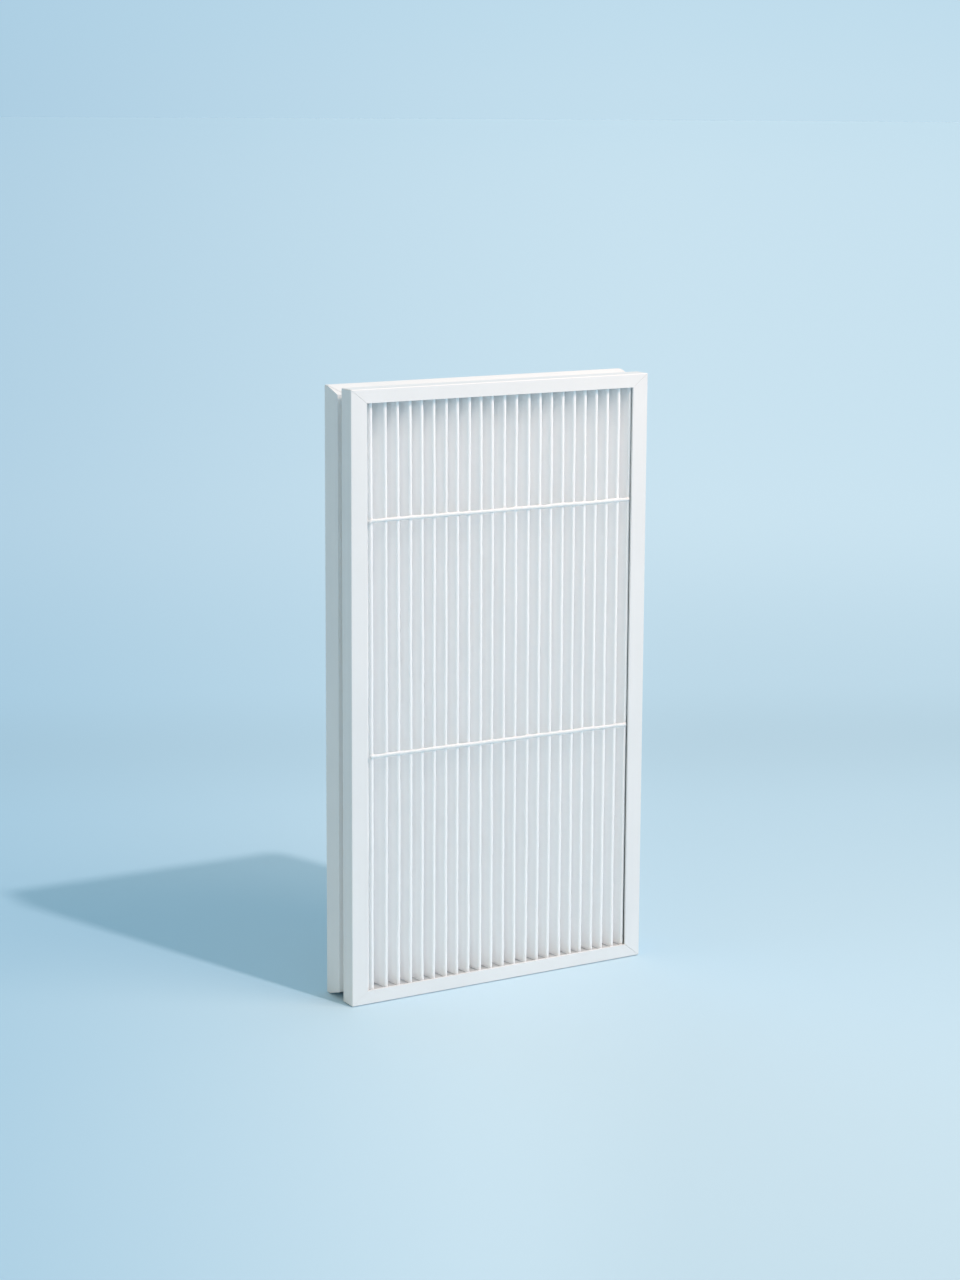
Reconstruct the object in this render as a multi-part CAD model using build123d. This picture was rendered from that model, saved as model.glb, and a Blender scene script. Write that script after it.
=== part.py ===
from build123d import *
import math
import os

# Pleated panel air filter: a folded sheet of white non-woven media in a
# mitred frame of four hollow plastic rails, stood on its short end.
# Millimetres, +Z up.  The front face is toward -Y.  The origin is at the
# middle of the foot of the panel, on the surface that it stands on.

# ---- driving dimensions -------------------------------------------------
WIDTH = 277.0            # over the side rails (X)
DEPTH = 45.0             # front face to rear face (Y)
HEIGHT = 500.0           # over the top and bottom rails (Z)

SIDE_FACE = 14.2         # visible face width of the side rails
END_FACE = 11.2          # visible face width of the top and bottom rails
WEB_IN = 9.2             # outer edge to the inner side of every rail's web
LIP = 2.0                # thickness of the front and rear lips over the media
WALL = 1.5               # wall of the hollow chambers

FLANGE = 15.5            # depth of the front flange, measured from the front
GROOVE_W = 7.0           # guide groove in the side rails, behind the flange
GROOVE_D = 5.0           # its depth
NOTCH_D = 7.8            # depth of the grip notch in the end rails
NOTCH_FLAT = 1.5         # flat floor of the notch next to the flange
RIM = 4.5                # flat rear rim left behind the sloped notch
EDGE = 0.8               # rounding of the long outer edges

PLEATS = 23              # folds that face the front
PITCH = 11.0             # fold to fold
FIRST_TIP = 20.2         # outer left edge to the first front fold
SHEET = 0.9              # media thickness
R_OUT = 1.25             # outside radius of a fold
TIP_BACK = 3.2           # front face to the crown of the front folds
TAIL = 31.0              # length in Y of the half pleats at the two sides
MEDIA_GAP = 10.1         # outer edge to the end of the media, top and bottom

BEAD_R = 1.35            # radius of the hot-melt threads
BEAD_Z = (205.0, 395.5)  # heights of the threads

KEY_LEG = 38.0           # length of each leg of a corner key, from the corner
KEY_CLEAR = 0.1          # play of the key in its chamber

HW = WIDTH / 2
Y0 = -DEPTH / 2          # front face
Y1 = DEPTH / 2           # rear face


def box(x0, x1, y0, y1, z0, z1):
    return Pos((x0 + x1) / 2, (y0 + y1) / 2, (z0 + z1) / 2) * Box(
        x1 - x0, y1 - y0, z1 - z0)


def prism_yz(points, x0, x1):
    """Polygon given as (y, z), run along X from x0 to x1."""
    wire = Polyline([(x0, y, z) for y, z in points], close=True)
    face = make_face(wire)
    return extrude(face, amount=x1 - x0, dir=(1, 0, 0))


def prism_xz(points, y0, y1):
    """Polygon given as (x, z), run along Y from y0 to y1."""
    wire = Polyline([(x, y0, z) for x, z in points], close=True)
    face = make_face(wire)
    return extrude(face, amount=y1 - y0, dir=(0, 1, 0))


# ---- the frame as one closed ring, later cut at its mitres --------------
ring = box(-HW, HW, Y0, Y1, 0, HEIGHT)
# long outer edges are softly rounded
ring = fillet(ring.edges(), EDGE)

# guide groove down both sides, behind the front flange
ga, gb = Y0 + FLANGE, Y0 + FLANGE + GROOVE_W
for s in (-1, 1):
    xo, xi = s * (HW + 1), s * (HW - GROOVE_D)
    ring -= box(min(xo, xi), max(xo, xi), ga, gb, -1, HEIGHT + 1)

# sloped grip notch across the top and the foot: square to the flange,
# a narrow flat floor, then a long slope up to the rear rim
slope_end = Y1 - RIM
flat_end = ga + NOTCH_FLAT
for top in (True, False):
    def z(d):
        return HEIGHT - d if top else d
    ring -= prism_yz([(ga, z(-1)), (ga, z(NOTCH_D)), (flat_end, z(NOTCH_D)),
                      (slope_end, z(0)), (slope_end, z(-1))],
                     -HW - 1, HW + 1)

# the window, and the pocket behind the lips that holds the media
ring -= box(-HW + SIDE_FACE, HW - SIDE_FACE, Y0 - 1, Y1 + 1,
            END_FACE, HEIGHT - END_FACE)
ring -= box(-HW + WEB_IN, HW - WEB_IN, Y0 + LIP, Y1 - LIP,
            WEB_IN, HEIGHT - WEB_IN)

# front chamber: one channel all the way round, where the corner keys sit
c0, c1 = WALL, WEB_IN - WALL
f0, f1 = Y0 + LIP, Y0 + FLANGE - WALL
chamber = box(-HW + c0, HW - c0, f0, f1, c0, HEIGHT - c0) - box(
    -HW + c1, HW - c1, f0 - 1, f1 + 1, c1, HEIGHT - c1)
ring -= chamber

# rear chambers of the side rails
for s in (-1, 1):
    xa, xb = s * (HW - c0), s * (HW - c1)
    ring -= box(min(xa, xb), max(xa, xb), gb + WALL, Y1 - LIP,
                WEB_IN + 2, HEIGHT - WEB_IN - 2)

# rear chambers of the end rails: wedge shaped, under the slope
run = slope_end - flat_end
skin = WALL * math.hypot(run, NOTCH_D) / run


def slope_depth(y):
    return NOTCH_D * (slope_end - y) / run


y_low = slope_end - (c1 - skin) * run / NOTCH_D
for top in (True, False):
    def z(d):
        return HEIGHT - d if top else d
    y_hi = slope_end - (c0 + 0.2 - skin) * run / NOTCH_D
    ring -= prism_yz([(Y1 - LIP, z(c1)), (y_low, z(c1)),
                      (y_hi, z(c0 + 0.2)), (Y1 - LIP, z(c0 + 0.2))],
                     -HW + SIDE_FACE + 4, HW - SIDE_FACE - 4)

# mitres run from the outer corners to the window's corners
top_cut = prism_xz([(-HW, HEIGHT), (HW, HEIGHT),
                    (HW - SIDE_FACE, HEIGHT - END_FACE),
                    (-HW + SIDE_FACE, HEIGHT - END_FACE)], Y0 - 1, Y1 + 1)
bottom_cut = prism_xz([(-HW, 0), (HW, 0), (HW - SIDE_FACE, END_FACE),
                       (-HW + SIDE_FACE, END_FACE)], Y0 - 1, Y1 + 1)
left_cut = prism_xz([(-HW, 0), (-HW + SIDE_FACE, END_FACE),
                     (-HW + SIDE_FACE, HEIGHT - END_FACE), (-HW, HEIGHT)],
                    Y0 - 1, Y1 + 1)
right_cut = prism_xz([(HW, 0), (HW - SIDE_FACE, END_FACE),
                      (HW - SIDE_FACE, HEIGHT - END_FACE), (HW, HEIGHT)],
                     Y0 - 1, Y1 + 1)
rails = {
    "frame_top": ring & top_cut,
    "frame_bottom": ring & bottom_cut,
    "frame_left": ring & left_cut,
    "frame_right": ring & right_cut,
}

# ---- corner keys: L pieces pressed into the front chamber ----------------
k0, k1 = c0 + KEY_CLEAR, c1 - KEY_CLEAR
ky0, ky1 = f0 + KEY_CLEAR, f1 - KEY_CLEAR


def corner_key(sx, top):
    def zz(a, b):
        return (HEIGHT - b, HEIGHT - a) if top else (a, b)

    def xx(a, b):
        return (HW - b, HW - a) if sx > 0 else (-HW + a, -HW + b)
    key = box(*xx(k0, k1), ky0, ky1, *zz(k0, KEY_LEG))
    key += box(*xx(k0, KEY_LEG), ky0, ky1, *zz(k0, k1))
    return key


keys = {
    "corner_key_top_left": corner_key(-1, True),
    "corner_key_top_right": corner_key(1, True),
    "corner_key_bottom_left": corner_key(-1, False),
    "corner_key_bottom_right": corner_key(1, False),
}

# ---- the folded media ----------------------------------------------------
R_IN = R_OUT - SHEET
yf = Y0 + TIP_BACK + R_OUT          # centres of the front folds
yr = -yf                            # centres of the rear folds
tips = [-HW + FIRST_TIP + PITCH * k for k in range(PLEATS)]
centres = []                        # (x, y, is_front)
for k, x in enumerate(tips):
    centres.append((x, yf, True))
    if k < PLEATS - 1:
        centres.append((x + PITCH / 2, yr, False))
centres.insert(0, (tips[0] - PITCH / 2, yr, False))


def tangent(c_a, c_b):
    """Unit normal n (pointing +X) of the sheet between two folds."""
    dx, dy = c_b[0] - c_a[0], c_b[1] - c_a[1]
    d = math.hypot(dx, dy)
    base = math.atan2(dy, dx)
    turn = math.acos((R_OUT + R_IN) / d)
    for a in (base + turn, base - turn):
        n = (math.cos(a), math.sin(a))
        if n[0] > 0:
            return n
    raise ValueError("no tangent")


def side_path(front_r, rear_r):
    """Points of one side of the sheet as (kind, data) from left to right."""
    segs = []
    last = None
    for i, c in enumerate(centres):
        r = front_r if c[2] else rear_r
        # normal of the run that comes in, and of the run that goes out
        n_in = tangent(centres[i - 1], c) if i > 0 else None
        n_out = tangent(c, centres[i + 1]) if i < len(centres) - 1 else None
        if n_in is None:
            # half pleat at the left: mirror of the run that goes out
            n_in = (n_out[0], -n_out[1])
        if n_out is None:
            n_out = (n_in[0], -n_in[1])
        p_in = (c[0] - r * n_in[0], c[1] - r * n_in[1])
        p_out = (c[0] + r * n_out[0], c[1] + r * n_out[1])
        crown = (c[0], c[1] - r if c[2] else c[1] + r)
        if last is None:
            # tail: straight run that ends forward, near the rail's web
            direction = (-n_in[1], n_in[0])
            if direction[1] > 0:
                direction = (-direction[0], -direction[1])
            k = TAIL / abs(direction[1])
            start = (p_in[0] + direction[0] * k, p_in[1] + direction[1] * k)
            segs.append(("l", start, p_in))
        else:
            segs.append(("l", last, p_in))
        segs.append(("a", p_in, crown, p_out))
        last = p_out
    # tail at the right, running back
    n_out = (n_in[0], -n_in[1]) if n_out is None else n_out
    direction = (-n_out[1], n_out[0])
    if direction[1] < 0:
        direction = (-direction[0], -direction[1])
    k = TAIL / abs(direction[1])
    end = (last[0] + direction[0] * k, last[1] + direction[1] * k)
    segs.append(("l", last, end))
    return segs


zm = MEDIA_GAP
outer = side_path(R_OUT, R_IN)
inner = side_path(R_IN, R_OUT)
edges = []
for path in (outer, inner):
    for s in path:
        if s[0] == "l":
            edges.append(Line((*s[1], zm), (*s[2], zm)))
        else:
            edges.append(ThreePointArc((*s[1], zm), (*s[2], zm), (*s[3], zm)))
edges.append(Line((*outer[0][1], zm), (*inner[0][1], zm)))
edges.append(Line((*outer[-1][2], zm), (*inner[-1][2], zm)))
profile = make_face(Wire(edges))
media = extrude(profile, amount=HEIGHT - 2 * MEDIA_GAP, dir=(0, 0, 1))

# ---- adhesive that seals the media into the rails ------------------------
seal_x = HW - WEB_IN
sy0, sy1 = Y0 + LIP, Y1 - LIP
seals = {
    "top_seal": box(-seal_x, seal_x, sy0, sy1,
                    HEIGHT - MEDIA_GAP, HEIGHT - WEB_IN),
    "bottom_seal": box(-seal_x, seal_x, sy0, sy1, WEB_IN, MEDIA_GAP),
}
# side strips: a bead of adhesive between each half pleat's end and the web
left_end = outer[0][1]
right_end = inner[-1][2]
for name, x0, x1, y0, y1 in (
        ("left_seal", -seal_x, left_end[0] + 2.0,
         left_end[1] - 1.0, left_end[1] + 9.0),
        ("right_seal", right_end[0] - 2.0, seal_x,
         right_end[1] - 9.0, right_end[1] + 1.0)):
    strip = box(x0, x1, y0, y1, MEDIA_GAP, HEIGHT - MEDIA_GAP) - media
    # keep the piece that touches the rail
    parts = sorted(strip.solids(), key=lambda q: -q.volume)
    side = [q for q in parts
            if abs(abs(q.bounding_box().min.X) - seal_x) < 0.01
            or abs(abs(q.bounding_box().max.X) - seal_x) < 0.01]
    seals[name] = side[0]

# ---- hot-melt threads across the folds ------------------------------------
threads = {}
for side, names in ((-1, ("front_thread_lower", "front_thread_upper")),
                    (1, ("rear_thread_lower", "rear_thread_upper"))):
    for name, z0 in zip(names, BEAD_Z):
        if side < 0:
            x0, x1 = tips[0] - 2.2, tips[-1] + 0.6
        else:
            x0, x1 = tips[0] - PITCH / 2 - 0.2, tips[-1] - PITCH / 2 + 2.2
        yb = side * (Y1 - TIP_BACK + 0.1)
        rod = Pos((x0 + x1) / 2, yb, z0) * Rot(0, 90, 0) * Cylinder(
            BEAD_R, x1 - x0)
        rod = rod - media
        threads[name] = sorted(rod.solids(), key=lambda q: -q.volume)[0]

# ---- write every piece ------------------------------------------------------
pieces = {}
pieces.update(rails)
pieces.update(keys)
pieces["pleated_media"] = media
pieces.update(seals)
pieces.update(threads)

os.makedirs("parts", exist_ok=True)
for name, shape in pieces.items():
    solids = shape.solids()
    body = solids[0] if len(solids) == 1 else Compound(children=list(solids))
    body.label = name
    export_step(body, f"parts/{name}.step")
    bb = body.bounding_box()
    print(f"{name:26s} solids {len(solids)} volume {body.volume:10.1f} "
          f"x {bb.min.X:8.2f} {bb.max.X:8.2f} y {bb.min.Y:7.2f} {bb.max.Y:7.2f} "
          f"z {bb.min.Z:7.2f} {bb.max.Z:7.2f}")
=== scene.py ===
import math

import bmesh
import bpy
import numpy as np
from mathutils import Matrix, Vector


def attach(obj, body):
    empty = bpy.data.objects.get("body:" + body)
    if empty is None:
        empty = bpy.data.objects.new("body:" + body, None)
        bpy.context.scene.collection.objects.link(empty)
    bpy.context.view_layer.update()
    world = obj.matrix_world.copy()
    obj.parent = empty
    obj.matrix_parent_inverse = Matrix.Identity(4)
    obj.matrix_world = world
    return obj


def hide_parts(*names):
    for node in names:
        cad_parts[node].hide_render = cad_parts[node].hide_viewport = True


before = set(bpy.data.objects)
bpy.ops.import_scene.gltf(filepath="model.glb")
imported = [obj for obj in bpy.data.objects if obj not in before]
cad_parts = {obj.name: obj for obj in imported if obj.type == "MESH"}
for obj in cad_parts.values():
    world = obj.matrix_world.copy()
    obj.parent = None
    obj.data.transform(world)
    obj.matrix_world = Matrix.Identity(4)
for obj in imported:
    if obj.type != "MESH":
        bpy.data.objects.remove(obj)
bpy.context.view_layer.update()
MM = 0.001

# ---- sizes shared with the CAD source, in millimetres ----------------------
HW, HEIGHT = 138.5, 500.0
Y0, Y1 = -22.5, 22.5
WEB_IN = 9.2
SIDE_FACE, END_FACE = 14.2, 11.2
MEDIA_GAP = 10.1
SHEET, R_OUT = 0.9, 1.25
R_IN = R_OUT - SHEET
R_CROWN = 1.55                   # the front folds are a little rounder
YF = Y0 + 3.2 + R_CROWN          # centres of the front folds
YR = Y1 - 3.2 - R_OUT            # centres of the rear folds
BEAD_Z = (205.0, 395.5)
TAIL = 31.0
MITRE = 0.10


# ---- smooth seeded noise ----------------------------------------------------
class Noise1:
    """Smooth noise along one axis, about -1 to 1, with its own seed."""

    def __init__(self, seed, step):
        self.v = np.random.default_rng(seed).uniform(-1, 1, 4096)
        self.step = step

    def __call__(self, t):
        t = np.asarray(t, float) / self.step + 1000.0
        i = np.floor(t).astype(int)
        f = t - i
        f = f * f * (3 - 2 * f)
        return self.v[i % 4096] * (1 - f) + self.v[(i + 1) % 4096] * f


class Noise2:
    """Smooth noise over two axes, about -1 to 1."""

    def __init__(self, seed, step_a, step_b):
        self.v = np.random.default_rng(seed).uniform(-1, 1, (512, 512))
        self.a, self.b = step_a, step_b

    def __call__(self, a, b):
        a = np.asarray(a, float) / self.a + 200.0
        b = np.asarray(b, float) / self.b + 200.0
        i, j = np.floor(a).astype(int), np.floor(b).astype(int)
        fa, fb = a - i, b - j
        fa, fb = fa * fa * (3 - 2 * fa), fb * fb * (3 - 2 * fb)
        v = self.v
        p, q = i % 512, j % 512
        p1, q1 = (i + 1) % 512, (j + 1) % 512
        return ((v[p, q] * (1 - fa) + v[p1, q] * fa) * (1 - fb)
                + (v[p, q1] * (1 - fa) + v[p1, q1] * fa) * fb)


# ---- node helpers -----------------------------------------------------------
def material(name):
    m = bpy.data.materials.new(name)
    m.use_nodes = True
    nt = m.node_tree
    nt.nodes.clear()
    out = nt.nodes.new("ShaderNodeOutputMaterial")
    p = nt.nodes.new("ShaderNodeBsdfPrincipled")
    nt.links.new(p.outputs[0], out.inputs[0])
    return m, nt, p


def node(nt, kind, **inputs):
    n = nt.nodes.new(kind)
    for k, v in inputs.items():
        if k in n.inputs:
            n.inputs[k].default_value = v
        else:
            setattr(n, k, v)
    return n


def link(nt, a, b):
    nt.links.new(a, b)


def mapping(nt, vec, scale=(1, 1, 1), rotation=(0, 0, 0), location=(0, 0, 0)):
    m = nt.nodes.new("ShaderNodeMapping")
    m.inputs["Scale"].default_value = scale
    m.inputs["Rotation"].default_value = rotation
    m.inputs["Location"].default_value = location
    nt.links.new(vec, m.inputs["Vector"])
    return m.outputs[0]


def noise_tex(nt, vec, scale, detail=3.0, rough=0.5, distort=0.0, dims="3D"):
    n = nt.nodes.new("ShaderNodeTexNoise")
    n.noise_dimensions = dims
    n.inputs["Scale"].default_value = scale
    n.inputs["Detail"].default_value = detail
    n.inputs["Roughness"].default_value = rough
    n.inputs["Distortion"].default_value = distort
    nt.links.new(vec, n.inputs["Vector"])
    return n.outputs["Fac"]


def remap(nt, fac, lo, hi, to_lo, to_hi):
    r = nt.nodes.new("ShaderNodeMapRange")
    r.inputs["From Min"].default_value = lo
    r.inputs["From Max"].default_value = hi
    r.inputs["To Min"].default_value = to_lo
    r.inputs["To Max"].default_value = to_hi
    nt.links.new(fac, r.inputs["Value"])
    return r.outputs[0]


def math_node(nt, op, a, b=None):
    m = nt.nodes.new("ShaderNodeMath")
    m.operation = op
    for i, v in enumerate((a, b)):
        if v is None:
            continue
        if isinstance(v, (int, float)):
            m.inputs[i].default_value = v
        else:
            nt.links.new(v, m.inputs[i])
    return m.outputs[0]


def mix_colour(nt, fac, a, b):
    m = nt.nodes.new("ShaderNodeMix")
    m.data_type = "RGBA"
    ins = {"f": m.inputs[0], "a": m.inputs[6], "b": m.inputs[7]}
    for key, v in (("f", fac), ("a", a), ("b", b)):
        if isinstance(v, (int, float)):
            ins[key].default_value = v
        elif isinstance(v, (tuple, list)):
            ins[key].default_value = (*v, 1.0) if len(v) == 3 else v
        else:
            nt.links.new(v, ins[key])
    return m.outputs[2]


def bump(nt, height, strength, distance, normal=None):
    b = nt.nodes.new("ShaderNodeBump")
    b.inputs["Strength"].default_value = strength
    b.inputs["Distance"].default_value = distance
    nt.links.new(height, b.inputs["Height"])
    if normal is not None:
        nt.links.new(normal, b.inputs["Normal"])
    return b.outputs[0]


# ---- materials ----------------------------------------------------------------
def plastic(name, along):
    """White extruded plastic. along is the rail's long axis, 0 for X or 2 for Z:
    faint die lines run that way."""
    m, nt, p = material(name)
    obj = nt.nodes.new("ShaderNodeTexCoord").outputs["Object"]
    scale = [900.0, 900.0, 900.0]
    scale[along] = 4.0
    lines = noise_tex(nt, mapping(nt, obj, tuple(scale)), 1.0, 2.0, 0.6)
    wide = [150.0, 150.0, 150.0]
    wide[along] = 2.5
    bands = noise_tex(nt, mapping(nt, obj, tuple(wide)), 1.0, 1.0, 0.5)
    grain = noise_tex(nt, obj, 1600.0, 2.0, 0.6)
    cloud = noise_tex(nt, obj, 22.0, 4.0, 0.55)
    tone = mix_colour(nt, remap(nt, cloud, 0.3, 0.7, 0.0, 1.0),
                      (0.806, 0.806, 0.802), (0.838, 0.836, 0.830))
    tone = mix_colour(nt, remap(nt, bands, 0.35, 0.75, 0.0, 0.35), tone,
                      (0.790, 0.792, 0.790))
    link(nt, tone, p.inputs["Base Color"])
    r = math_node(nt, "ADD", remap(nt, cloud, 0.25, 0.75, 0.37, 0.49),
                  remap(nt, lines, 0.2, 0.8, -0.03, 0.03))
    link(nt, r, p.inputs["Roughness"])
    n1 = bump(nt, bands, 0.35, 0.00006)
    n2 = bump(nt, lines, 0.30, 0.000018, n1)
    n3 = bump(nt, grain, 0.25, 0.000012, n2)
    link(nt, n3, p.inputs["Normal"])
    p.inputs["IOR"].default_value = 1.5
    p.inputs["Specular IOR Level"].default_value = 0.42
    return m


def non_woven():
    """Thermally bonded non-woven: fibres laid at several angles, cloudy
    formation, soft and slightly translucent. Its map is the unfolded sheet."""
    m, nt, p = material("non_woven_media")
    uv = nt.nodes.new("ShaderNodeUVMap")
    uv.uv_map = "unfolded"
    flat = uv.outputs[0]
    fibres = None
    for i, (angle, fine, long_) in enumerate(
            ((8, 2600, 150), (-37, 2300, 170), (52, 2500, 160), (81, 2200, 180))):
        v = mapping(nt, flat, (fine, long_, 1), (0, 0, math.radians(angle)),
                    (13.1 * i, 7.7 * i, 0))
        n = noise_tex(nt, v, 1.0, 2.0, 0.55, 0.6, "2D")
        ridge = math_node(nt, "ABSOLUTE", math_node(nt, "SUBTRACT", n, 0.5))
        ridge = remap(nt, ridge, 0.0, 0.10, 1.0, 0.0)
        fibres = ridge if fibres is None else math_node(nt, "MAXIMUM", fibres, ridge)
    cloud = noise_tex(nt, flat, 190.0, 3.0, 0.6, 0.3, "2D")
    wide = noise_tex(nt, flat, 34.0, 2.0, 0.5, 0.0, "2D")
    tone = mix_colour(nt, remap(nt, cloud, 0.28, 0.72, 0.0, 1.0),
                      (0.983, 0.986, 0.986), (0.993, 0.995, 0.995))
    tone = mix_colour(nt, remap(nt, wide, 0.3, 0.7, 0.0, 0.4), tone,
                      (0.985, 0.987, 0.987))
    tone = mix_colour(nt, remap(nt, fibres, 0.2, 1.0, 0.0, 0.35), tone,
                      (0.994, 0.995, 0.995))
    # painted shade: greyer down in the folds, away from the crowns, where shade falls
    place = nt.nodes.new("ShaderNodeTexCoord").outputs["Object"]
    sep = nt.nodes.new("ShaderNodeSeparateXYZ")
    link(nt, place, sep.inputs[0])
    painted_shade = nt.nodes.new("ShaderNodeMapRange")
    painted_shade.interpolation_type = "SMOOTHSTEP"
    painted_shade.inputs["From Min"].default_value = 0.0125
    painted_shade.inputs["From Max"].default_value = 0.0090
    link(nt, math_node(nt, "ABSOLUTE", sep.outputs["Y"]), painted_shade.inputs["Value"])
    # painted shade: the mask darkens the sheet at mid depth between the crowns
    tone = mix_colour(nt, painted_shade.outputs[0], tone, (0.955, 0.960, 0.964))
    link(nt, tone, p.inputs["Base Color"])
    link(nt, remap(nt, cloud, 0.3, 0.7, 0.84, 0.96), p.inputs["Roughness"])
    n1 = bump(nt, wide, 0.5, 0.0004)
    n2 = bump(nt, cloud, 0.55, 0.00022, n1)
    n3 = bump(nt, fibres, 0.6, 0.00005, n2)
    link(nt, n3, p.inputs["Normal"])
    p.inputs["Specular IOR Level"].default_value = 0.2
    p.inputs["Subsurface Weight"].default_value = 1.0
    p.inputs["Subsurface Radius"].default_value = (1.0, 1.0, 1.0)
    p.inputs["Subsurface Scale"].default_value = 0.0005
    return m


def hot_melt(name, low, high):
    m, nt, p = material(name)
    obj = nt.nodes.new("ShaderNodeTexCoord").outputs["Object"]
    cloud = noise_tex(nt, obj, 240.0, 3.0, 0.55)
    grain = noise_tex(nt, obj, 900.0, 2.0, 0.5)
    tone = mix_colour(nt, remap(nt, cloud, 0.3, 0.7, 0.0, 1.0),
                      low, high)
    link(nt, tone, p.inputs["Base Color"])
    link(nt, remap(nt, cloud, 0.3, 0.7, 0.30, 0.48), p.inputs["Roughness"])
    n1 = bump(nt, cloud, 0.35, 0.00012)
    n2 = bump(nt, grain, 0.3, 0.00003, n1)
    link(nt, n2, p.inputs["Normal"])
    p.inputs["IOR"].default_value = 1.48
    p.inputs["Subsurface Weight"].default_value = 0.35
    p.inputs["Subsurface Radius"].default_value = (1.0, 1.0, 0.95)
    p.inputs["Subsurface Scale"].default_value = 0.0012
    return m


def moulded():
    m, nt, p = material("key_plastic")
    obj = nt.nodes.new("ShaderNodeTexCoord").outputs["Object"]
    cloud = noise_tex(nt, obj, 60.0, 3.0, 0.5)
    grain = noise_tex(nt, obj, 2200.0, 2.0, 0.6)
    tone = mix_colour(nt, remap(nt, cloud, 0.3, 0.7, 0.0, 1.0),
                      (0.60, 0.62, 0.64), (0.66, 0.68, 0.69))
    link(nt, tone, p.inputs["Base Color"])
    link(nt, remap(nt, cloud, 0.3, 0.7, 0.42, 0.56), p.inputs["Roughness"])
    link(nt, bump(nt, grain, 0.4, 0.00003), p.inputs["Normal"])
    return m


def paper():
    """Matt pale blue paper with light fall-off painted in: painted shade to the left, near
    by and near the right, paler far off, and a faint painted shaded band behind the object.
    """
    m, nt, p = material("stage_paper")
    obj = nt.nodes.new("ShaderNodeTexCoord").outputs["Object"]
    turn = mapping(nt, obj, rotation=(0, 0, math.radians(30.6)))
    sep = nt.nodes.new("ShaderNodeSeparateXYZ")
    link(nt, turn, sep.inputs[0])
    size = nt.nodes.new("ShaderNodeVectorMath")
    size.operation = "LENGTH"
    link(nt, turn, size.inputs[0])
    reach = size.outputs["Value"]
    u, v = sep.outputs["X"], sep.outputs["Y"]

    def smooth(value, lo, hi, kind="SMOOTHSTEP"):
        r = nt.nodes.new("ShaderNodeMapRange")
        r.interpolation_type = kind
        r.inputs["From Min"].default_value = lo
        r.inputs["From Max"].default_value = hi
        link(nt, value, r.inputs["Value"])
        return r.outputs[0]

    # painted light: the paper grows paler far off, so the far floor looks as lit as the
    # floor near the lamps
    far_painted_light = smooth(math_node(nt, "ADD", math_node(nt, "MULTIPLY", reach, 0.6),
                           math_node(nt, "MULTIPLY", v, 0.4)), 0.1, 3.0, "SMOOTHERSTEP")
    # painted shade: the floor darkens to the left, a light fall-off laid out around a point
    # in front of the object
    across = math_node(nt, "DIVIDE", math_node(nt, "MULTIPLY", u, 7.0),
                       math_node(nt, "MAXIMUM", math_node(nt, "ADD", v, 2.25), 0.6))
    left = smooth(across, 0.6, -2.2)
    right = smooth(across, -0.1, 0.6)
    # painted shade: a faint darker band behind the object, standing in for the shade where
    # a backdrop bends
    line = math_node(nt, "SUBTRACT", math_node(nt, "SUBTRACT", v, 0.815),
                     math_node(nt, "MULTIPLY", u, 0.09))
    bend_painted_shade = smooth(math_node(nt, "ABSOLUTE", line), 0.32, 0.0)
    wide = noise_tex(nt, obj, 0.9, 2.0, 0.5)
    near_tone = mix_colour(nt, remap(nt, wide, 0.3, 0.7, 0.0, 1.0),
                           (0.592, 0.756, 0.850), (0.602, 0.765, 0.858))
    # painted shade: the near floor is darker to the right, offsetting the softbox's
    # brighter pool there
    near_tone = mix_colour(nt, right, near_tone, (0.545, 0.708, 0.802))
    tone = mix_colour(nt, far_painted_light, near_tone, (0.780, 0.898, 0.955))
    tone = mix_colour(nt, smooth(reach, 8.0, 45.0), tone, (0.760, 0.888, 0.950))
    # painted shade: the darker paper tones used to the left
    painted_shade = mix_colour(nt, far_painted_light, (0.405, 0.612, 0.752), (0.522, 0.694, 0.812))
    painted_shade = mix_colour(nt, smooth(reach, 8.0, 45.0), painted_shade, (0.512, 0.688, 0.808))
    tone = mix_colour(nt, left, tone, painted_shade)
    tone = mix_colour(nt, math_node(nt, "MULTIPLY", bend_painted_shade, 0.11), tone,
                      (0.300, 0.400, 0.450))
    link(nt, tone, p.inputs["Base Color"])
    p.inputs["Roughness"].default_value = 0.95
    p.inputs["Specular IOR Level"].default_value = 0.1
    grain = noise_tex(nt, obj, 900.0, 2.0, 0.5)
    link(nt, bump(nt, grain, 0.15, 0.0001), p.inputs["Normal"])
    return m


MAT_V = plastic("frame_plastic_upright", 2)
MAT_H = plastic("frame_plastic_level", 0)
MAT_MEDIA = non_woven()
MAT_GLUE = hot_melt("hot_melt", (0.770, 0.775, 0.772), (0.845, 0.848, 0.842))
# painted shade: a dark grey copy of the hot-melt, standing in for the shade in the channels
# at the folds' feet and heads
MAT_BED_PAINTED_SHADE = hot_melt("hot_melt_bed_painted_shade", (0.455, 0.468, 0.470), (0.550, 0.560, 0.560))
MAT_SIDE = hot_melt("hot_melt_side", (0.900, 0.905, 0.900), (0.950, 0.952, 0.948))
MAT_KEY = moulded()


def new_object(name, mesh):
    o = bpy.data.objects.new(name, mesh)
    bpy.context.scene.collection.objects.link(o)
    return o


def apply_modifiers(o):
    dg = bpy.context.evaluated_depsgraph_get()
    me = bpy.data.meshes.new_from_object(o.evaluated_get(dg))
    o.modifiers.clear()
    old = o.data
    o.data = me
    bpy.data.meshes.remove(old)


def put_material(o, m):
    o.data.materials.clear()
    o.data.materials.append(m)


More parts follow.
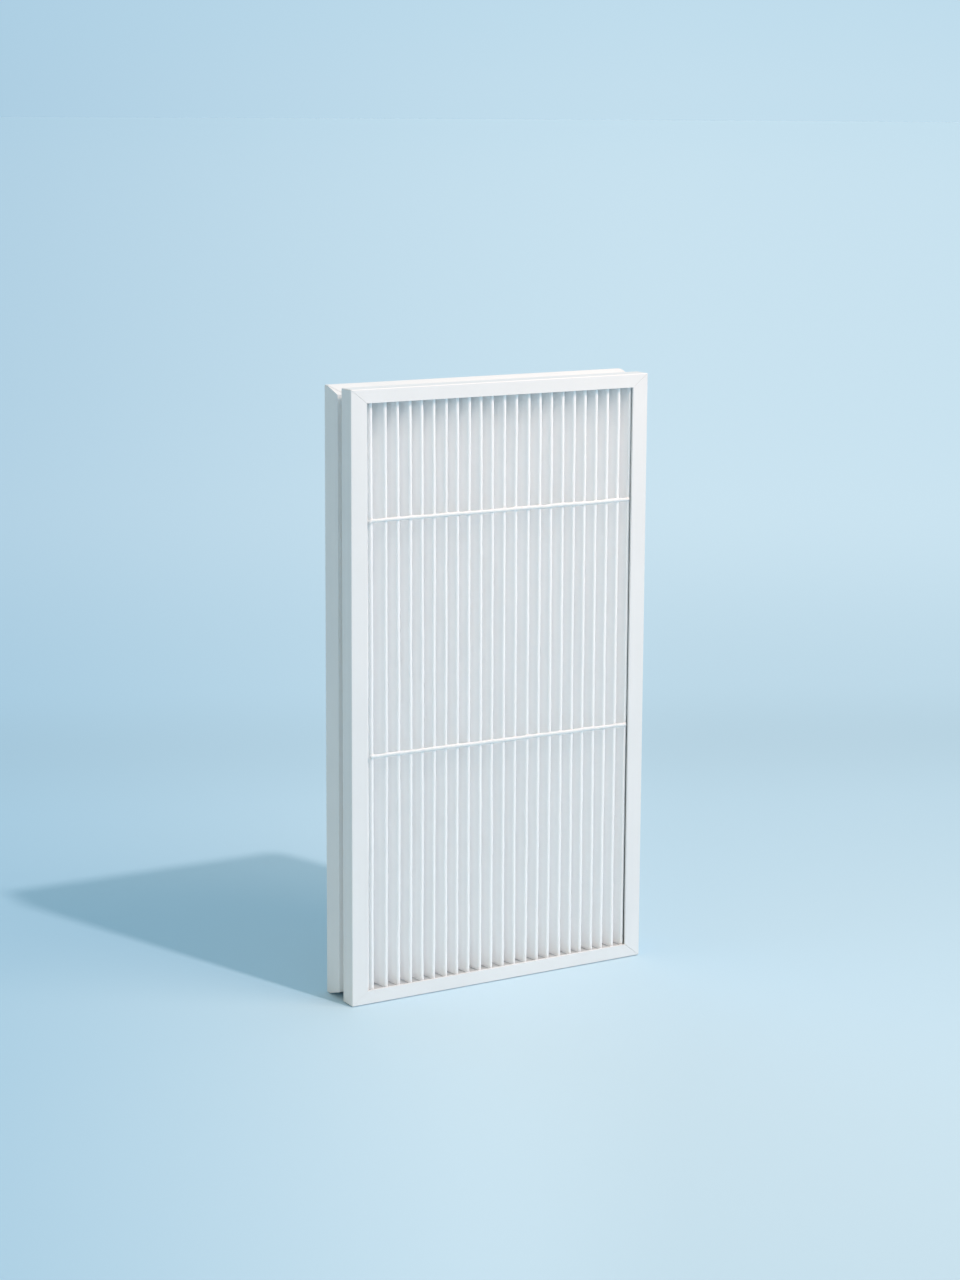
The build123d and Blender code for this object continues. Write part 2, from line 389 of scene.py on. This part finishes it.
# ---- frame rails: the CAD shape with fine softened edges ----------------------
def rail(cad_name, name, mat):
    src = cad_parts[cad_name]
    bm = bmesh.new()
    bm.from_mesh(src.data)
    bmesh.ops.remove_doubles(bm, verts=bm.verts, dist=2e-6)
    bmesh.ops.dissolve_limit(bm, angle_limit=math.radians(1.0),
                             verts=bm.verts, edges=bm.edges)
    # a hairline gap at the mitres: each rail's cut faces stand back a little
    for v in bm.verts:
        x, z = v.co.x / MM, v.co.z / MM
        if abs((HW - abs(x)) * END_FACE / SIDE_FACE - min(z, HEIGHT - z)) < 0.02:
            if "left" in name or "right" in name:
                v.co.z += MITRE * MM * (1 if z < HEIGHT / 2 else -1)
            else:
                v.co.x += MITRE * MM * (1 if x < 0 else -1)
    me = bpy.data.meshes.new(name)
    bm.to_mesh(me)
    bm.free()
    for poly in me.polygons:
        poly.use_smooth = True
    o = new_object(name, me)
    bev = o.modifiers.new("bevel", "BEVEL")
    bev.width = 0.00028
    bev.segments = 3
    bev.limit_method = "ANGLE"
    bev.angle_limit = math.radians(42)
    bev.use_clamp_overlap = True
    bev.harden_normals = False
    wn = o.modifiers.new("normals", "WEIGHTED_NORMAL")
    wn.mode = "FACE_AREA"
    wn.weight = 60
    wn.keep_sharp = False
    bpy.context.view_layer.update()
    apply_modifiers(o)
    put_material(o, mat)
    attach(o, "root")
    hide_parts(cad_name)
    return o


rail("frame_left", "left_rail", MAT_V)
rail("frame_right", "right_rail", MAT_V)
rail("frame_top", "top_rail", MAT_H)
rail("frame_bottom", "bottom_rail", MAT_H)

# ---- folded media ----------------------------------------------------------------
# crowns of the front folds from the outer left edge, at the foot, middle and
# top of the panel: the folds of the real sheet are not quite evenly spaced
CROWNS = [
    (20.1, 20.2, 19.4), (33.0, 33.3, 32.3), (44.5, 44.7, 43.2),
    (55.7, 55.7, 54.6), (66.5, 66.4, 65.3), (77.5, 77.3, 76.4),
    (88.8, 88.1, 87.4), (99.1, 98.7, 97.9), (110.1, 109.4, 108.7),
    (121.1, 120.4, 119.5), (131.8, 131.1, 130.2), (143.1, 142.4, 141.5),
    (154.0, 153.4, 152.6), (165.3, 165.1, 164.4), (176.4, 175.9, 175.2),
    (187.3, 186.8, 185.9), (198.3, 197.7, 197.0), (208.8, 208.3, 208.0),
    (219.3, 218.8, 218.5), (230.2, 229.6, 229.3), (240.5, 240.3, 240.1),
    (251.4, 251.0, 251.1), (261.4, 261.9, 262.4),
]
N_ARC, N_FLANK = 6, 4
N_FOLDS = len(CROWNS)

levels = []
z = MEDIA_GAP
while z < HEIGHT - MEDIA_GAP - 0.5:
    levels.append(z)
    near = min(abs(z - b) for b in BEAD_Z)
    end = min(z - MEDIA_GAP, HEIGHT - MEDIA_GAP - z)
    z += 2.6 if near < 7 or end < 6 else 6.4
levels.append(HEIGHT - MEDIA_GAP)
LZ = np.array(levels)
N_LEVELS = len(LZ)


def crown_x(k, zz):
    """X of front fold k at height zz, in the shared frame."""
    a, b, c = CROWNS[k]
    t = (np.asarray(zz, float) - 250.0) / 250.0
    base = b + (c - a) / 2 * t + ((c + a) / 2 - b) * t * t - HW
    return (base + 0.16 * Noise1(100 + k, 38.0)(zz)
            + 0.07 * Noise1(300 + k, 13.0)(zz))


def fold_centres(zz):
    """Centres of all folds at one height: (x, y, is_front), left to right."""
    front = [float(crown_x(k, zz)) for k in range(N_FOLDS)]
    out = [(-123.8, YR, False)]
    for k, x in enumerate(front):
        dy = 0.22 * float(Noise1(500 + k, 60.0)(zz)) + 0.10 * float(
            Noise1(520 + k, 17.0)(zz))
        out.append((x, YF + dy, True))
        if k < N_FOLDS - 1:
            mid = (x + front[k + 1]) / 2 + 0.35 * float(
                Noise1(700 + k, 70.0)(zz)) + 0.25 * math.sin(k * 2.3)
            out.append((mid, YR - 0.2 * float(Noise1(740 + k, 55.0)(zz)), False))
    return out


def tangent(a, b, ra, rb):
    """Unit normal, pointing +X, of the run between two folds of the sheet."""
    dx, dy = b[0] - a[0], b[1] - a[1]
    d = math.hypot(dx, dy)
    base, turn = math.atan2(dy, dx), math.acos((ra + rb) / d)
    for s in (base + turn, base - turn):
        if math.cos(s) > 0:
            return math.cos(s), math.sin(s)
    raise ValueError("no tangent")


# the tail at the right ends where the CAD sheet's does
_last = (-HW + 20.2 + 11.0 * (N_FOLDS - 1), -YR)
_prev = (_last[0] - 5.5, YR)
_n = tangent(_prev, _last, R_IN, R_OUT)
_n = (_n[0], -_n[1])
_dir = (-_n[1], _n[0])
if _dir[1] < 0:
    _dir = (-_dir[0], -_dir[1])
_k = TAIL / abs(_dir[1])
_start = (_last[0] + R_OUT * _n[0], _last[1] + R_OUT * _n[1])
RIGHT_END = (_start[0] + _dir[0] * _k, _start[1] + _dir[1] * _k)


def sheet_line(cs, front_r, rear_r):
    """One side of the sheet at one height: a fixed number of points."""
    pts = []
    n = len(cs)
    last = None
    for i, c in enumerate(cs):
        r = front_r if c[2] else rear_r
        n_in = tangent(cs[i - 1], c, R_CROWN, R_IN) if i > 0 else None
        n_out = tangent(c, cs[i + 1], R_CROWN, R_IN) if i < n - 1 else None
        if n_in is None:
            n_in = (n_out[0], -n_out[1])
        if n_out is None:
            # straight run from the last crown to the fixed end of the tail
            rr = front_r
            ex = RIGHT_END[0] + (0.0 if front_r == R_CROWN else -SHEET)
            dx, dy = ex - c[0], RIGHT_END[1] - c[1]
            d = math.hypot(dx, dy)
            a = math.atan2(dy, dx) - math.acos(rr / d)
            n_out = (math.cos(a), math.sin(a))
            end = (ex, RIGHT_END[1])
        else:
            end = None
        a_in = math.atan2(-n_in[1], -n_in[0])
        a_out = math.atan2(n_out[1], n_out[0])
        if c[2]:                      # front fold: turn through -Y
            while a_in > 0:
                a_in -= 2 * math.pi
            while a_out < a_in:
                a_out += 2 * math.pi
            if a_out - a_in > 2 * math.pi:
                a_out -= 2 * math.pi
        else:                         # rear fold: turn through +Y
            while a_in < 0:
                a_in += 2 * math.pi
            while a_out > a_in:
                a_out -= 2 * math.pi
        arc = [(c[0] + r * math.cos(a_in + (a_out - a_in) * t / N_ARC),
                c[1] + r * math.sin(a_in + (a_out - a_in) * t / N_ARC))
               for t in range(N_ARC + 1)]
        if last is None:
            direction = (-n_in[1], n_in[0])
            if direction[1] > 0:
                direction = (-direction[0], -direction[1])
            k = TAIL / abs(direction[1])
            last = (arc[0][0] + direction[0] * k, arc[0][1] + direction[1] * k)
            pts.append(last)
        for t in range(1, N_FLANK):
            f = t / N_FLANK
            pts.append((last[0] + (arc[0][0] - last[0]) * f,
                        last[1] + (arc[0][1] - last[1]) * f))
        pts.extend(arc)
        last = arc[-1]
        if end is not None:
            for t in range(1, N_FLANK + 1):
                f = t / N_FLANK
                pts.append((last[0] + (end[0] - last[0]) * f,
                            last[1] + (end[1] - last[1]) * f))
    return pts


wobble = Noise2(900, 9.0, 46.0)
ripple = Noise2(901, 4.0, 12.0)
outer, inner = [], []
for zz in LZ:
    cs = fold_centres(zz)
    outer.append(sheet_line(cs, R_CROWN, R_IN))
    inner.append(sheet_line(cs, R_CROWN - SHEET, R_OUT))
OUT = np.array(outer)                 # levels, points, 2
INN = np.array(inner)
N_PTS = OUT.shape[1]
# the runs between folds bow gently, most at mid depth
idx = np.arange(N_PTS)[None, :] * np.ones((N_LEVELS, 1))
depth = np.clip(1 - (OUT[:, :, 1] / 15.0) ** 2, 0, 1)
bow = (0.40 * wobble(idx, LZ[:, None] * np.ones((1, N_PTS)))
       + 0.12 * ripple(idx, LZ[:, None] * np.ones((1, N_PTS)))) * depth
bow[:, :N_FLANK + 2] = 0
bow[:, -N_FLANK - 2:] *= np.linspace(1, 0, N_FLANK + 2)[None, :]
OUT[:, :, 0] += bow
INN[:, :, 0] += bow

verts, uvs = [], []
mid = (OUT + INN) / 2
seg = np.sqrt(((mid[:, 1:] - mid[:, :-1]) ** 2).sum(2)).mean(0)
arc_len = np.concatenate([[0], np.cumsum(seg)])
for side in (OUT, INN):
    for j in range(N_LEVELS):
        for i in range(N_PTS):
            verts.append((side[j, i, 0] * MM, side[j, i, 1] * MM, LZ[j] * MM))
            uvs.append((arc_len[i] * MM, LZ[j] * MM))


def vid(side, j, i):
    return side * N_LEVELS * N_PTS + j * N_PTS + i


faces = []
for j in range(N_LEVELS - 1):
    for i in range(N_PTS - 1):
        a, b, c, d = vid(0, j, i), vid(0, j, i + 1), vid(0, j + 1, i + 1), vid(0, j + 1, i)
        faces.append((a, b, c, d))
        a, b, c, d = vid(1, j, i), vid(1, j + 1, i), vid(1, j + 1, i + 1), vid(1, j, i + 1)
        faces.append((a, b, c, d))
for i in range(N_PTS - 1):
    faces.append((vid(0, 0, i), vid(1, 0, i), vid(1, 0, i + 1), vid(0, 0, i + 1)))
    t = N_LEVELS - 1
    faces.append((vid(0, t, i), vid(0, t, i + 1), vid(1, t, i + 1), vid(1, t, i)))
for j in range(N_LEVELS - 1):
    faces.append((vid(0, j, 0), vid(0, j + 1, 0), vid(1, j + 1, 0), vid(1, j, 0)))
    e = N_PTS - 1
    faces.append((vid(0, j, e), vid(1, j, e), vid(1, j + 1, e), vid(0, j + 1, e)))
me = bpy.data.meshes.new("folded_media")
me.from_pydata(verts, [], faces)
me.validate()
uv_layer = me.uv_layers.new(name="unfolded")
loop_v = np.zeros(len(me.loops), np.int32)
me.loops.foreach_get("vertex_index", loop_v)
uv_layer.data.foreach_set("uv", np.array(uvs, np.float32)[loop_v].ravel())
me.polygons.foreach_set("use_smooth", np.ones(len(me.polygons), bool))
me.update()
media = new_object("folded_media", me)
bm = bmesh.new()
bm.from_mesh(me)
bmesh.ops.recalc_face_normals(bm, faces=bm.faces)
for e in bm.edges:
    if len(e.link_faces) == 2 and e.calc_face_angle(0) > math.radians(60):
        e.smooth = False
bm.to_mesh(me)
bm.free()
put_material(media, MAT_MEDIA)
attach(media, "root")
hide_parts("pleated_media")

# ---- adhesive beds that the ends of the folds stand in --------------------------
seg_a = mid[0][:-1]
seg_b = mid[0][1:]


def bed(cad_name, name, top):
    """A thin layer of adhesive that creeps up the folds' ends."""
    line = mid[-1] if top else mid[0]
    pa, pb = line[:-1], line[1:]
    x = np.arange(-129.2, 129.25, 0.68)
    y = np.linspace(-20.4, 20.4, 61)
    gx, gy = np.meshgrid(x, y, indexing="ij")
    best = np.full(gx.shape, 99.0)
    for a, b in zip(pa, pb):
        m = ((gx > min(a[0], b[0]) - 4) & (gx < max(a[0], b[0]) + 4))
        if not m.any():
            continue
        px, py = gx[m], gy[m]
        d = b - a
        t = np.clip(((px - a[0]) * d[0] + (py - a[1]) * d[1]) / max(d @ d, 1e-9), 0, 1)
        dist = np.hypot(px - a[0] - t * d[0], py - a[1] - t * d[1])
        best[m] = np.minimum(best[m], dist)
    n = Noise2(1201 if top else 1200, 6.0, 5.0)
    n2 = Noise2(1203 if top else 1202, 2.2, 2.0)
    h = (0.84 + 0.12 * n(gx, gy) + 0.05 * n2(gx, gy)
         + (0.60 + 0.25 * n(gx + 50, gy)) * np.exp(-np.maximum(best - 0.45, 0) / 0.55))
    nx, ny = len(x), len(y)
    vs, fs = [], []
    for i in range(nx):
        for j in range(ny):
            zz = WEB_IN + max(0.15, h[i, j])
            vs.append((x[i] * MM, y[j] * MM,
                       (HEIGHT - zz if top else zz) * MM))
    base = len(vs)
    zb = (HEIGHT - WEB_IN - 0.02 if top else WEB_IN + 0.02) * MM
    ring = ([(i, 0) for i in range(nx)] + [(nx - 1, j) for j in range(1, ny)]
            + [(i, ny - 1) for i in range(nx - 2, -1, -1)]
            + [(0, j) for j in range(ny - 2, 0, -1)])
    for i in range(nx - 1):
        for j in range(ny - 1):
            q = [i * ny + j, (i + 1) * ny + j, (i + 1) * ny + j + 1, i * ny + j + 1]
            fs.append(q if not top else q[::-1])
    for i, j in ring:
        vs.append((x[i] * MM, y[j] * MM, zb))
    m = len(ring)
    for t in range(m):
        i, j = ring[t]
        i2, j2 = ring[(t + 1) % m]
        q = [i * ny + j, base + t, base + (t + 1) % m, i2 * ny + j2]
        fs.append(q if not top else q[::-1])
    fs.append([base + t for t in range(m)] if top else [base + t for t in range(m)][::-1])
    me = bpy.data.meshes.new(name)
    me.from_pydata(vs, [], fs)
    me.validate()
    bm = bmesh.new()
    bm.from_mesh(me)
    bmesh.ops.recalc_face_normals(bm, faces=bm.faces)
    for f in bm.faces:
        f.smooth = True
    for e in bm.edges:
        if len(e.link_faces) == 2 and e.calc_face_angle(0) > math.radians(50):
            e.smooth = False
    bm.to_mesh(me)
    bm.free()
    o = new_object(name, me)
    # painted shade: the beds take the dark grey hot-melt copy
    put_material(o, MAT_BED_PAINTED_SHADE)
    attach(o, "root")
    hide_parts(cad_name)
    return o


bed("bottom_seal", "bottom_adhesive_bed", False)
bed("top_seal", "top_adhesive_bed", True)


# ---- hot-melt threads ---------------------------------------------------------------
def thread(cad_name, name, side, z_at, x0, x1, crowns, seed, blob):
    """A lumpy thread across the crowns: thicker where it wets a fold, a little
    slack between folds, rounded at its ends, with a drooping start."""
    step = 0.55
    xs = np.arange(x0, x1 + step / 2, step)
    n1, n2, n3, n4 = (Noise1(seed + i, s) for i, s in enumerate((3.1, 9.0, 14.0, 2.0)))
    near = np.min(np.abs(xs[:, None] - np.array(crowns)[None, :]), axis=1)
    wet = np.exp(-(near / 1.15) ** 2)
    r = 1.24 + 0.18 * wet + 0.12 * n1(xs) + 0.08 * n2(xs)
    zc = z_at(xs) + 0.20 * n3(xs) + 0.08 * n1(xs + 40) - 0.16 * (1 - wet)
    yc = side * (19.46 - 0.10 * wet) + 0.10 * n2(xs + 90)
    end = np.minimum(xs - x0, x1 - xs)
    r *= np.sqrt(np.clip(1 - (1 - np.clip(end / 1.3, 0, 1)) ** 2, 0.02, 1))
    if blob:
        g = np.exp(-((xs - (x0 + 1.7)) / 1.3) ** 2)
        r += 0.42 * g
        zc -= 0.85 * np.exp(-((xs - (x0 + 0.9)) / 1.2) ** 2)
    nr = 16
    vs, fs = [], []
    for i, xx in enumerate(xs):
        for t in range(nr):
            a = 2 * math.pi * t / nr
            lump = 1 + 0.05 * n4(xx * 1.0 + 31.0 * math.cos(a) + 17.0 * math.sin(a))
            # flatter against the folds, round in front
            dy = math.cos(a) * (0.92 if math.cos(a) * side > 0 else 0.80)
            dz = math.sin(a) * (1.22 + 0.05 * wet[i])
            vs.append((xx * MM, (yc[i] + r[i] * lump * dy) * MM,
                       (zc[i] + r[i] * lump * dz) * MM))
    m = len(xs)
    for i in range(m - 1):
        for t in range(nr):
            fs.append((i * nr + t, (i + 1) * nr + t,
                       (i + 1) * nr + (t + 1) % nr, i * nr + (t + 1) % nr))
    fs.append([t for t in range(nr)])
    fs.append([(m - 1) * nr + t for t in range(nr)][::-1])
    me = bpy.data.meshes.new(name)
    me.from_pydata(vs, [], fs)
    me.validate()
    bm = bmesh.new()
    bm.from_mesh(me)
    bmesh.ops.recalc_face_normals(bm, faces=bm.faces)
    for f in bm.faces:
        f.smooth = True
    bm.to_mesh(me)
    bm.free()
    o = new_object(name, me)
    put_material(o, MAT_GLUE)
    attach(o, "root")
    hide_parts(cad_name)
    return o


def centres_at(z_at, front):
    cs = fold_centres(z_at)
    return [c[0] for c in cs if c[2] == front]


thread("front_thread_upper", "hot_melt_thread_front_upper", -1,
       lambda x: 395.4 + 0.0 * x, -121.6, 124.0,
       centres_at(395.4, True), 2000, True)
thread("front_thread_lower", "hot_melt_thread_front_lower", -1,
       lambda x: 204.9 - 0.0045 * (x + 120), -120.6, 124.0,
       centres_at(204.5, True), 2040, False)
thread("rear_thread_upper", "hot_melt_thread_rear_upper", 1,
       lambda x: 395.4 + 0.0 * x, -123.9, 120.4,
       centres_at(395.4, False), 2080, False)
thread("rear_thread_lower", "hot_melt_thread_rear_lower", 1,
       lambda x: 205.0 + 0.0 * x, -123.9, 120.4,
       centres_at(205.0, False), 2120, True)


# ---- the left side's adhesive: the CAD bead, and the fillet that closes the gap
# between the front flange and the first fold --------------------------------------
def left_strip():
    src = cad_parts["left_seal"]
    bm = bmesh.new()
    bm.from_mesh(src.data)
    zs = np.linspace(MEDIA_GAP + 0.1, HEIGHT - MEDIA_GAP - 0.1, 121)
    sway, lump = Noise1(2300, 31.0), Noise1(2301, 7.0)
    rings = []
    for zz in zs:
        x0 = float(crown_x(0, zz)) - R_CROWN
        w = 0.22 * float(sway(zz)) + 0.10 * float(lump(zz))
        outline = [(-129.25, -18.9 + w), (-126.0, -18.5 + w), (-123.0, -17.9 + w),
                   (x0 - 0.9, -17.1 + w), (x0 + 0.25, -15.9 + w), (-122.4, -15.0),
                   (-126.0, -14.1), (-129.25, -13.7)]
        rings.append([bm.verts.new((x * MM, y * MM, zz * MM)) for x, y in outline])
    for a, b in zip(rings[:-1], rings[1:]):
        for t in range(8):
            bm.faces.new((a[t], a[(t + 1) % 8], b[(t + 1) % 8], b[t]))
    bm.faces.new(rings[0][::-1])
    bm.faces.new(rings[-1])
    bmesh.ops.recalc_face_normals(bm, faces=bm.faces)
    for f in bm.faces:
        f.smooth = True
    for e in bm.edges:
        if len(e.link_faces) == 2 and e.calc_face_angle(0) > math.radians(50):
            e.smooth = False
    me = bpy.data.meshes.new("left_adhesive_strip")
    bm.to_mesh(me)
    bm.free()
    o = new_object("left_adhesive_strip", me)
    put_material(o, MAT_SIDE)
    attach(o, "root")
    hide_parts("left_seal")


left_strip()

# ---- CAD nodes that stay, with their finish --------------------------------------
for n in ("corner_key_top_left", "corner_key_top_right",
          "corner_key_bottom_left", "corner_key_bottom_right"):
    put_material(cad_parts[n], MAT_KEY)
put_material(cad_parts["right_seal"], MAT_SIDE)

# ---- stage ---------------------------------------------------------------------------
bm = bmesh.new()
bmesh.ops.create_circle(bm, cap_ends=True, segments=96, radius=60.0)
me = bpy.data.meshes.new("stage_floor")
bm.to_mesh(me)
bm.free()
floor = new_object("stage_floor", me)
put_material(floor, paper())
floor.location.z = -0.4 * MM     # the foot's rounded edge shows a fine dark contact line

# ---- light: a small key from the front right above, a softbox near the right
# front corner, and the pale room around them -------------------------------------
KEY = (1.16, 0.98, 0.955)
BOX = (7.2, 4.85, 3.45)
BOX_AT, BOX_SIZE = (0.4, -0.7, 1.25), 0.6
ROOM_LOW, ROOM_LOW_LEFT = (0.549, 0.736, 0.854), (0.376, 0.579, 0.736)
ROOM_UP = (0.412, 0.650, 0.800)
ROOM_LEFT = (0.590, 0.535, 0.420)


def light(kind, name, rgb):
    top = max(rgb)
    data = bpy.data.lights.new(name, kind)
    data.energy = top
    data.color = [c / max(top, 1e-6) for c in rgb]
    o = bpy.data.objects.new(name, data)
    bpy.context.scene.collection.objects.link(o)
    o.rotation_mode = "QUATERNION"
    return o


key = light("SUN", "key", KEY)
key.data.angle = math.radians(2.3)
key.rotation_quaternion = Vector((0.197, -0.609, 0.768)).to_track_quat("Z", "Y")
box = light("AREA", "softbox", BOX)
box.data.shape, box.data.size = "SQUARE", BOX_SIZE
box.location = BOX_AT
box.rotation_quaternion = (Vector(BOX_AT) - Vector((0, 0, 0.25))).to_track_quat("Z", "Y")
box.visible_camera = False

world = bpy.data.worlds.new("studio")
bpy.context.scene.world = world
world.use_nodes = True
nt = world.node_tree
nt.nodes.clear()
out = nt.nodes.new("ShaderNodeOutputWorld")
bg = nt.nodes.new("ShaderNodeBackground")
link(nt, bg.outputs[0], out.inputs[0])
tc = nt.nodes.new("ShaderNodeTexCoord")
sep = nt.nodes.new("ShaderNodeSeparateXYZ")
link(nt, tc.outputs["Generated"], sep.inputs[0])
f = remap(nt, sep.outputs["Z"], 0.0, 0.18, 0.0, 1.0)
upper = mix_colour(nt, remap(nt, sep.outputs["X"], 0.0, -0.6, 0.0, 1.0),
                   ROOM_UP, ROOM_LEFT)


def along(direction):
    d = nt.nodes.new("ShaderNodeVectorMath")
    d.operation = "DOT_PRODUCT"
    link(nt, tc.outputs["Generated"], d.inputs[0])
    d.inputs[1].default_value = direction
    return d.outputs["Value"]


# low down the room takes the light fall-off to the left that is painted into the floor, so
# no line shows where the two meet
side = math_node(nt, "DIVIDE",
                 math_node(nt, "MULTIPLY", along((0.861, -0.509, 0.0)), 7.0),
                 math_node(nt, "MAXIMUM", along((0.509, 0.861, 0.0)), 0.02))
fall = nt.nodes.new("ShaderNodeMapRange")
fall.interpolation_type = "SMOOTHSTEP"
fall.inputs["From Min"].default_value = 0.6
fall.inputs["From Max"].default_value = -2.2
link(nt, side, fall.inputs["Value"])
low = mix_colour(nt, fall.outputs[0], ROOM_LOW, ROOM_LOW_LEFT)
colour = mix_colour(nt, f, low, upper)
link(nt, colour, bg.inputs["Color"])
bg.inputs["Strength"].default_value = 1.0

# ---- camera ------------------------------------------------------------------------------
cam = bpy.data.cameras.new("camera")
cam.lens = 77.1363
cam.shift_y = -0.0625
cam.sensor_width = 36.0
cam.clip_start, cam.clip_end = 0.05, 200.0
co = bpy.data.objects.new("camera", cam)
bpy.context.scene.collection.objects.link(co)
az, el, roll = (math.radians(v) for v in (30.3971, 9.8101, 0.3127))
d = Vector((math.sin(az) * math.cos(el), math.cos(az) * math.cos(el), -math.sin(el)))
right = Vector((math.cos(az), -math.sin(az), 0))
up = right.cross(d)
r2 = right * math.cos(roll) + up * math.sin(roll)
u2 = up * math.cos(roll) - right * math.sin(roll)
m = Matrix(((r2.x, u2.x, -d.x), (r2.y, u2.y, -d.y), (r2.z, u2.z, -d.z)))
co.location = (-1.1235, -1.9011, 0.7331)
co.rotation_mode = "QUATERNION"
co.rotation_quaternion = m.to_quaternion()
bpy.context.scene.camera = co
bpy.context.scene.cycles.diffuse_bounces = 12
bpy.context.scene.cycles.max_bounces = 16
bpy.context.scene.view_settings.view_transform = "Standard"
